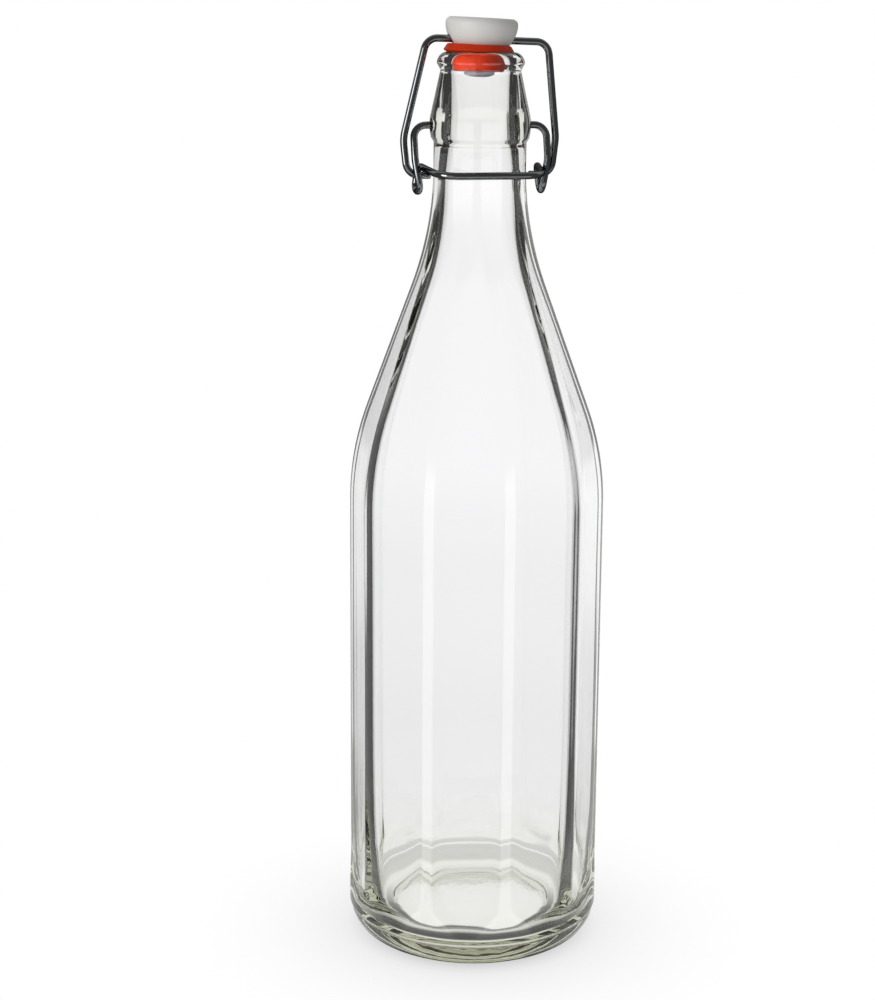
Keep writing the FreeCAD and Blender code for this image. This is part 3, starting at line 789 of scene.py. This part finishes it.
# To the eye: bright clear walls drawn by thin dark edges, and a green-grey depth in the thick base.
flint_glass, tree = new_material("flint_glass")
where = add(tree, "ShaderNodeTexCoord").outputs["Object"]
drawn = add(tree, "ShaderNodeMapping", Vector=where, Scale=(1, 1, RIPPLE_STRETCH))
ripple = add(tree, "ShaderNodeTexNoise", Vector=drawn.outputs[0], Scale=1 / RIPPLE, Detail=1.0)
bump = add(tree, "ShaderNodeBump", Height=ripple.outputs["Fac"], Strength=0.4, Distance=0.1 * MM)
glass = add(tree, "ShaderNodeBsdfPrincipled", Base_Color=linear("#FFFFFF"), Roughness=0.0, IOR=1.52,
            Transmission_Weight=1.0, Normal=bump.outputs["Normal"])
depth = add(tree, "ShaderNodeVolumeAbsorption", Color=linear("#D5D7B4"), Density=20.0)
add(tree, "ShaderNodeOutputMaterial", Surface=glass.outputs["BSDF"], Volume=depth.outputs["Volume"])
dress(flint_glass, bottle)

# %% [markdown]
# ### Drawn steel
# The wires are steel drawn through a die, which leaves a smooth dark satin skin that mirrors the room in long
# streaks. A grey paint would lose the streaks, so it is a real metal with a low roughness. Drawing marks are
# finer than a pixel here, so they are drawn coarser, as specks 0.8 mm wide that shift the tone a little.

# %% Drawn steel wire
SPECK = 0.8 * MM
# To the eye: dark grey wire with narrow bright streaks, paler where it faces the light.
drawn_steel, tree = new_material("drawn_steel_wire")
where = add(tree, "ShaderNodeTexCoord").outputs["Object"]
speck = add(tree, "ShaderNodeTexNoise", Vector=where, Scale=1 / SPECK, Detail=3.0)
tone = add(tree, "ShaderNodeMix", {"data_type": "RGBA"}, Factor=speck.outputs["Fac"],
           _6=linear("#8E9093"), _7=linear("#969899"))
steel = add(tree, "ShaderNodeBsdfPrincipled", Base_Color=tone.outputs[2], Metallic=1.0, Roughness=0.1,
            Specular_Tint=linear("#707070"))
add(tree, "ShaderNodeOutputMaterial", Surface=steel.outputs["BSDF"])
dress(drawn_steel, bail, lever)

# %% [markdown]
# ### White plastic
# The stopper is moulded polypropylene, a slightly waxy white plastic with a soft gloss. Plain white paint
# would look like plaster, so a little light is let under the surface and a very fine grain breaks the gloss.
# The end that sits in the bottle is painted greyer and cooler than the head, as painted shade under the ring,
# so the tone changes with height.

# %% Moulded white polypropylene
GRAIN = 0.5 * MM
SHADED_DEPTH = 6.0
# To the eye: a warm white head with a soft sheen and no hard highlight, above a cool grey end of painted
# shade.
white_plastic, tree = new_material("moulded_white_polypropylene")
where = add(tree, "ShaderNodeTexCoord").outputs["Object"]
grain = add(tree, "ShaderNodeTexNoise", Vector=where, Scale=1 / GRAIN, Detail=2.0)
bump = add(tree, "ShaderNodeBump", Height=grain.outputs["Fac"], Strength=0.06, Distance=0.1 * MM)
# Painted shade: below the lip the white turns greyer and cooler, as if shaded by the ring.
height = add(tree, "ShaderNodeSeparateXYZ", Vector=where).outputs["Z"]
painted_shade_fade = add(tree, "ShaderNodeMapRange", _0=height, _1=(LIP_Z - SHADED_DEPTH) * MM, _2=LIP_Z * MM).outputs[0]
tone = add(tree, "ShaderNodeMix", {"data_type": "RGBA"}, Factor=painted_shade_fade,
           _6=linear("#C2BEC8"), _7=linear("#F1F0EC"))
plastic = add(tree, "ShaderNodeBsdfPrincipled", Base_Color=tone.outputs[2], Roughness=0.38, IOR=1.49,
              Subsurface_Weight=0.15, Subsurface_Scale=1.5 * MM, Normal=bump.outputs["Normal"])
add(tree, "ShaderNodeOutputMaterial", Surface=plastic.outputs["BSDF"])
dress(white_plastic, stopper)

# %% [markdown]
# ### Red rubber
# The ring is moulded rubber coloured right through: even orange red, half matt, with a faint bloom where the
# surface has dried. A flat colour would look like paint, so soft noise a few millimetres wide moves it
# between two close reds.

# %% Orange red rubber
BLOOM = 2.5 * MM
# To the eye: a strong orange red with a low soft sheen, never a mirror-like spot.
red_rubber, tree = new_material("orange_red_rubber")
where = add(tree, "ShaderNodeTexCoord").outputs["Object"]
bloom = add(tree, "ShaderNodeTexNoise", Vector=where, Scale=1 / BLOOM, Detail=4.0)
tone = add(tree, "ShaderNodeMix", {"data_type": "RGBA"}, Factor=bloom.outputs["Fac"],
           _6=linear("#D22F04"), _7=linear("#DC3907"))
rubber = add(tree, "ShaderNodeBsdfPrincipled", Base_Color=tone.outputs[2], Roughness=0.5, IOR=1.5,
             Specular_IOR_Level=0.3)
add(tree, "ShaderNodeOutputMaterial", Surface=rubber.outputs["BSDF"])
dress(red_rubber, gasket)

# %% [markdown]
# ## The studio: soft-edged cards
# Glass and polished wire have no look of their own: they show the room. A studio sets white and dark cards
# round a bottle for that. Card objects would have to be hidden from the camera, so here the cards are painted
# on the sky, each as a mask with soft edges between two angles and two levels.

# %% Soft masks
PHOTO_AZIMUTH = math.radians(-15)
SOFT = {"interpolation_type": "SMOOTHSTEP"}


def band(tree, value, low, high, ease):
    """1 where the value lies between low and high, easing to 0 over ease outside them."""
    rise = add(tree, "ShaderNodeMapRange", SOFT, _0=value, _1=low - ease, _2=low)
    drop = add(tree, "ShaderNodeMapRange", SOFT, _0=value, _1=high, _2=high + ease, _3=1.0, _4=0.0)
    both = add(tree, "ShaderNodeMath", {"operation": "MULTIPLY"}, _0=rise.outputs[0], _1=drop.outputs[0])
    return both.outputs[0]


def patch(tree, across, up, sides, heights, ease, up_ease=3):
    """1 where two values both lie in their bands, as on a card with soft edges."""
    wide = band(tree, across, *sides, ease)
    tall = band(tree, up, *heights, up_ease)
    return add(tree, "ShaderNodeMath", {"operation": "MULTIPLY"}, _0=wide, _1=tall).outputs[0]


def weighted(tree, terms, base):
    """Base value plus each mask times its strength."""
    total = base
    for mask, strength in terms:
        sum_node = add(tree, "ShaderNodeMath", {"operation": "MULTIPLY_ADD"}, _0=mask, _1=strength, _2=total)
        total = sum_node.outputs[0]
    return total


def photo_side(tree, where):
    """A direction or place turned so that Y points away from the photograph's camera, taken apart."""
    turned = add(tree, "ShaderNodeMapping", Vector=where, Rotation=(0, 0, -PHOTO_AZIMUTH))
    return add(tree, "ShaderNodeSeparateXYZ", Vector=turned.outputs[0]).outputs


print("the photograph looks from azimuth", round(math.degrees(PHOTO_AZIMUTH)), "degrees")

# %% [markdown]
# ### Directions in the sky
# Every ray that leaves the bottle meets the sky in some direction. X, Y and Z say little to a person, so
# three angles in degrees are worked out: how far round from straight behind the bottle, how far round from
# straight in front of it, and the level above the horizon.

# %% Directions
studio = bpy.data.worlds.new("studio")
bpy.context.scene.world = studio
studio.use_nodes = True
sky = studio.node_tree
sky.nodes.clear()
x, y, z = photo_side(sky, add(sky, "ShaderNodeTexCoord").outputs["Generated"])
toward = add(sky, "ShaderNodeMath", {"operation": "MULTIPLY"}, _0=y, _1=-1.0).outputs[0]
behind = add(sky, "ShaderNodeMath", {"operation": "ARCTAN2"}, _0=x, _1=y).outputs[0]
front = add(sky, "ShaderNodeMath", {"operation": "ARCTAN2"}, _0=x, _1=toward).outputs[0]
level = add(sky, "ShaderNodeMath", {"operation": "ARCSINE"}, _0=z).outputs[0]
behind, front, level = [
    add(sky, "ShaderNodeMath", {"operation": "DEGREES"}, _0=angle).outputs[0]
    for angle in (behind, front, level)
]
print("the sky's directions take", len(sky.nodes), "nodes")

# %% [markdown]
# ### What the surfaces mirror
# Glass should mirror a dim room with two tall soft lights, which give the long streaks down its sides. Wire
# needs a narrower and stronger light, or its streak grows as broad as the wire, with a weak one beside it. A
# ray that left smooth glass is called singular and one that left satin metal isn't, so each gets a room of
# its own.

# %% Mirrored room
rays = add(sky, "ShaderNodeLightPath").outputs
shine = weighted(sky, [
    (patch(sky, front, level, (-66, -18), (-42, 2), 6, 12), 1.6),
    (patch(sky, front, level, (6, 54), (-42, 2), 6, 12), 1.6),
    (band(sky, level, -42, -11, 3), 0.15),
    (band(sky, behind, -40, 46, 6), 0.45),
    (band(sky, behind, 24, 52, 6), 0.45),
], 0.05)
satin = weighted(sky, [
    (patch(sky, front, level, (-58, -40), (-16, 16), 4), 4.5),
    (patch(sky, front, level, (-32, -12), (-16, 16), 6), 0.35),
    (patch(sky, front, level, (-50, 60), (-44, -16), 8), 0.5),
    (patch(sky, behind, level, (-70, 70), (10, 100), 20, 8), 0.45),
], 0.1)
# A second reflection, wire in wire, is dimmed, because it would fleck the wires with small bright spots.
again = add(sky, "ShaderNodeMapRange", _0=rays["Glossy Depth"], _1=1.0, _2=2.0, _3=1.0, _4=0.2).outputs[0]
satin = add(sky, "ShaderNodeMath", {"operation": "MULTIPLY"}, _0=satin, _1=again).outputs[0]
gloss = add(sky, "ShaderNodeMix", Factor=rays["Is Singular Ray"], _2=satin, _3=shine).outputs[0]
print("with the mirrored room it has", len(sky.nodes))

# %% [markdown]
# ### What shows through the glass
# Clear glass is photographed against a bright field: the field fills the bottle with white, and the dark room
# beside it draws the edges and corners. A ray that crosses both walls passes four surfaces and sees the
# field. One that turned back inside a wall passes fewer, and sees the dark room unless it leaves near the
# middle. The bright middle is narrower for level rays, which come from the thick neck, and for steep ones,
# from the base.

# %% Bright field
# A ray that has passed more surfaces than this has crossed both walls.
BOTH_WALLS = 3.5
field = weighted(sky, [
    (band(sky, behind, -20, 30, 6), 0.16),
], 0.84)
grazed = weighted(sky, [
    (patch(sky, behind, level, (-36, 42), (-15, -6.5), 6), 0.9),
    (patch(sky, behind, level, (-17, 25), (-3.5, 80), 6), 0.9),
    (patch(sky, behind, level, (-16, 22), (-20, -18), 6), 0.9),
    (patch(sky, behind, level, (-3, 6), (-80, -23), 4), 0.9),
], 0.05)
fall = weighted(sky, [
    (band(sky, level, -16, 80, 4), 0.04),
    (band(sky, level, -11.5, -6, 4), 0.085),
], 0.985)
crossed = add(sky, "ShaderNodeMath", {"operation": "GREATER_THAN"}, _0=rays["Transmission Depth"],
              _1=BOTH_WALLS)
through = add(sky, "ShaderNodeMix", Factor=crossed.outputs[0], _2=grazed, _3=field).outputs[0]
through = add(sky, "ShaderNodeMath", {"operation": "MULTIPLY"}, _0=through, _1=fall).outputs[0]
# Light that has turned many times inside the glass has lost some of its strength.
worn = add(sky, "ShaderNodeMapRange", _0=rays["Ray Depth"], _1=6.0, _2=14.0, _3=1.0, _4=0.3).outputs[0]
through = add(sky, "ShaderNodeMath", {"operation": "MULTIPLY"}, _0=through, _1=worn).outputs[0]
print("with the bright field it has", len(sky.nodes))

# %% [markdown]
# ### Light for the pieces inside the neck
# The ring's plug and the stopper's end sit behind glass. Lamps don't shine through it without caustics, which
# are slow and grainy. So the light that leaves these two and passes out through the neck meets a soft light
# on the same side as the main lamp.

# %% Light through the neck
inner = weighted(sky, [(patch(sky, front, level, (-65, -15), (-8, 45), 25), 6.0)], 0.2)
onto_matt = add(sky, "ShaderNodeMath", {"operation": "GREATER_THAN"}, _0=rays["Diffuse Depth"], _1=0.5)
through = add(sky, "ShaderNodeMix", Factor=onto_matt.outputs[0], _2=through, _3=inner).outputs[0]
print("with the light through the neck it has", len(sky.nodes))

# %% [markdown]
# ### One sky for each kind of ray
# The camera should see plain white, matt surfaces a dim even sky, gloss the mirrored room and glass the
# bright field. Four worlds can't be used at once, but the Light Path node tells the kinds of ray apart.
# Smooth glass counts as gloss too, so its kind is mixed in after gloss, and the camera's comes last.

# %% Joined sky
lit = add(sky, "ShaderNodeMix", Factor=rays["Is Glossy Ray"], _2=0.2, _3=gloss).outputs[0]
lit = add(sky, "ShaderNodeMix", Factor=rays["Is Transmission Ray"], _2=lit, _3=through).outputs[0]
lit = add(sky, "ShaderNodeMix", Factor=rays["Is Camera Ray"], _2=lit, _3=1.0).outputs[0]
cool = add(sky, "ShaderNodeMix", {"data_type": "RGBA"}, Factor=rays["Is Transmission Ray"],
           _6=linear("#FFFFFF"), _7=linear("#FBFBFF"))
white = add(sky, "ShaderNodeBackground", Color=cool.outputs[2], Strength=lit)
add(sky, "ShaderNodeOutputWorld", Surface=white.outputs[0])
print("the whole sky has", len(sky.nodes), "nodes")

# %% [markdown]
# ## Lamps
# Matt surfaces need a lamp to show their form. A small lamp would throw hard shadows, so two large square
# lamps stand in: the main one from the left, as the shading on the stopper shows, and a weak one from above.
# Gloss and glass already have their lights in the sky, so they don't see these.

# %% Soft lamps
LAMP_AIM = Vector((0, 0, 0.15))


def soft_lamp(name, azimuth, elevation, distance, size, power):
    """Square area lamp at an azimuth and elevation round the bottle, facing its middle."""
    data = bpy.data.lights.new(name, "AREA")
    data.size = size
    data.energy = power
    lamp = bpy.data.objects.new(name, data)
    a, e = math.radians(azimuth), math.radians(elevation)
    back = Vector((math.sin(a) * math.cos(e), -math.cos(a) * math.cos(e), math.sin(e)))
    lamp.location = LAMP_AIM + distance * back
    lamp.rotation_euler = (-back).to_track_quat("-Z", "Y").to_euler()
    lamp.visible_glossy = False
    lamp.visible_transmission = False
    bpy.context.scene.collection.objects.link(lamp)
    print(name, "lamp at", [round(value, 2) for value in lamp.location])


soft_lamp("key", -60, 20, 1.4, 1.0, 9.5)
soft_lamp("top", 20, 75, 1.6, 1.2, 1)

# %% [markdown]
# ## The floor
# The bottle stands on pale acrylic that fades into the white behind it. A huge lit plane would turn grey
# towards its edge. So the floor is a disc that glows white by itself and is darkened only where the bottle
# keeps the sky from it, a painted soft shadow at its foot. Seen through the glass it shows a painted dark
# contact ring under the foot and a fainter painted shadow on the floor behind it.

# %% Floor disc
FLOOR_RADII = np.array([20.0, 80.0, 200.0, 450.0])
disc = np.column_stack([FLOOR_RADII, 0 * FLOOR_RADII])
floor = skin("floor", turn(disc, even_angles(TURN_STEPS)), start=(0, 0, 0))

# %% White acrylic floor
# To the eye: plain white with one soft grey painted shadow close to the bottle.
white_acrylic, tree = new_material("white_acrylic_floor")
where = add(tree, "ShaderNodeTexCoord").outputs["Object"]
where = add(tree, "ShaderNodeVectorMath", {"operation": "SCALE"}, _0=where, Scale=1 / MM).outputs[0]
far = add(tree, "ShaderNodeVectorMath", {"operation": "LENGTH"}, _0=where).outputs["Value"]
back = photo_side(tree, where)["Y"]
rays = add(tree, "ShaderNodeLightPath").outputs
# Seen directly: painted shade from ambient occlusion, darker where the bottle hides the sky.
open_sky = add(tree, "ShaderNodeAmbientOcclusion", {"samples": 8}, Distance=0.06).outputs["AO"]
seen = add(tree, "ShaderNodeMapRange", _0=open_sky, _1=0.0, _2=0.95, _3=0.62, _4=1.0).outputs[0]
# Seen through the glass: a painted dark shadow ring under the front of the foot and a fainter painted shadow
# behind it.
refracted = weighted(tree, [
    (patch(tree, far, back, (30, 38), (-1000, -20), 4, 40), -0.88),
    (patch(tree, far, back, (45, 60), (20, 1000), 5, 40), -0.24),
], 0.97)
# A ray that turned back inside a wall sees the floor painted dark further out, as it sees the sky.
entered = add(tree, "ShaderNodeMath", {"operation": "GREATER_THAN"}, _0=rays["Transmission Depth"], _1=0.5)
uncrossed = add(tree, "ShaderNodeMath", {"operation": "LESS_THAN"}, _0=rays["Transmission Depth"],
                _1=BOTH_WALLS)
turned = add(tree, "ShaderNodeMath", {"operation": "MULTIPLY"}, _0=entered.outputs[0],
             _1=uncrossed.outputs[0])
shade = add(tree, "ShaderNodeMapRange", _0=far, _1=42.0, _2=50.0, _3=0.8, _4=0.15).outputs[0]
dim = add(tree, "ShaderNodeMix", Factor=turned.outputs[0], _2=1.0, _3=shade).outputs[0]
refracted = add(tree, "ShaderNodeMath", {"operation": "MULTIPLY"}, _0=refracted, _1=dim).outputs[0]
lit = add(tree, "ShaderNodeMix", Factor=rays["Is Glossy Ray"], _2=seen, _3=refracted).outputs[0]
glow = add(tree, "ShaderNodeEmission", Color=linear("#FFFFFF"), Strength=lit)
clear = add(tree, "ShaderNodeBsdfTransparent")
beyond = add(tree, "ShaderNodeMapRange", _0=far, _1=50.0, _2=120.0).outputs[0]
passes = add(tree, "ShaderNodeMath", {"operation": "MULTIPLY"}, _0=beyond, _1=rays["Is Glossy Ray"])
whole = add(tree, "ShaderNodeMixShader", _0=passes.outputs[0], _1=glow.outputs[0], _2=clear.outputs[0])
add(tree, "ShaderNodeOutputMaterial", Surface=whole.outputs[0])
dress(white_acrylic, floor)

# %% [markdown]
# ## The camera
# The photograph was taken from a little left of the closure's front, from about the height of the stopper,
# with a short telephoto lens. The camera could be turned until the bottle sits right of the middle, but that
# would bend its upright lines, so the lens is shifted instead, as on a view camera.

# %% Photo camera
IMAGE_HEIGHT = 1000
FOCAL_PIXELS = 2070
SENSOR = 36.0
CAMERA_DISTANCE = 0.693
CAMERA_HEIGHT = 0.3186
CAMERA_PITCH = math.radians(12.67)
CAMERA_ROLL = math.radians(0.6)
OFFSET_RIGHT = 39
OFFSET_DOWN = -22
lens = bpy.data.cameras.new("camera")
lens.sensor_width = SENSOR
lens.lens = FOCAL_PIXELS * SENSOR / IMAGE_HEIGHT
lens.shift_x = -OFFSET_RIGHT / IMAGE_HEIGHT
lens.shift_y = OFFSET_DOWN / IMAGE_HEIGHT
camera = bpy.data.objects.new("camera", lens)
sine, cosine = math.sin(PHOTO_AZIMUTH), math.cos(PHOTO_AZIMUTH)
camera.location = (CAMERA_DISTANCE * sine, -CAMERA_DISTANCE * cosine, CAMERA_HEIGHT)
flat = math.cos(CAMERA_PITCH)
look = Vector((-sine * flat, cosine * flat, -math.sin(CAMERA_PITCH)))
camera.rotation_mode = "QUATERNION"
camera.rotation_quaternion = look.to_track_quat("-Z", "Y") @ Quaternion((0, 0, 1), CAMERA_ROLL)
bpy.context.scene.collection.objects.link(camera)
bpy.context.scene.camera = camera
spot = [round(value, 3) for value in camera.location]
print("camera at", spot, "with a lens of", round(lens.lens, 1), "mm")

# %% [markdown]
# ## Colours and light paths
# The Standard view shows each colour as it was written. The default limits stop a ray after a few surfaces
# and would leave black patches where walls lie behind walls. A bottle needs many more turns, so the limits
# are raised.

# %% View and light paths
GLASS_TURNS = 32
bpy.context.scene.view_settings.view_transform = "Standard"
paths = bpy.context.scene.cycles
paths.max_bounces = GLASS_TURNS
paths.glossy_bounces = GLASS_TURNS
paths.transmission_bounces = GLASS_TURNS
print("a ray may turn", paths.max_bounces, "times")
